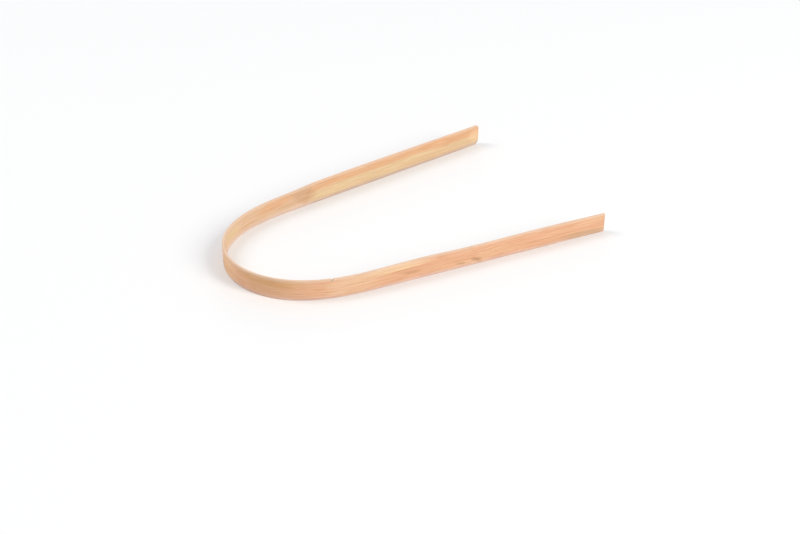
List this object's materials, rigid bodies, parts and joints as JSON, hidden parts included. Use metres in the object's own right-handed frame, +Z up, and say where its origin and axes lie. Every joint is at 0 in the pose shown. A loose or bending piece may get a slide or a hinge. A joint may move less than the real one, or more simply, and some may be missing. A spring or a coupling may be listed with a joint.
{
  "type": "bamboo tongs",
  "caption": "Flat bamboo strip bent to a springy U; a squeeze closes its long straight arms at the tips to pick up small things.",
  "frame": {"origin": "middle of the bounding box, on the surface that the tongs' lower edge stands on", "axes": "+X from the bend towards the tips, +Y from the right arm to the left arm, +Z up across the strip's width"},
  "size_m": [0.1496, 0.0952, 0.0099],
  "materials": {
    "bamboo": "planed and lightly sanded bamboo strip, unvarnished"
  },
  "bodies": {
    "right_side": {"right_arm": "bamboo", "right_bend": "bamboo"},
    "left_side": {"left_bend": "bamboo", "left_arm": "bamboo"}
  },
  "joints": [
    {"name": "squeeze", "type": "hinge", "parent": "right_side", "child": "left_side", "pos_m": [-0.07428, 0, 0.0045], "axis": [0, 0, -1], "range_deg": [-8, 34.5], "stiffness_Nm_per_rad": 0.067}
  ]
}
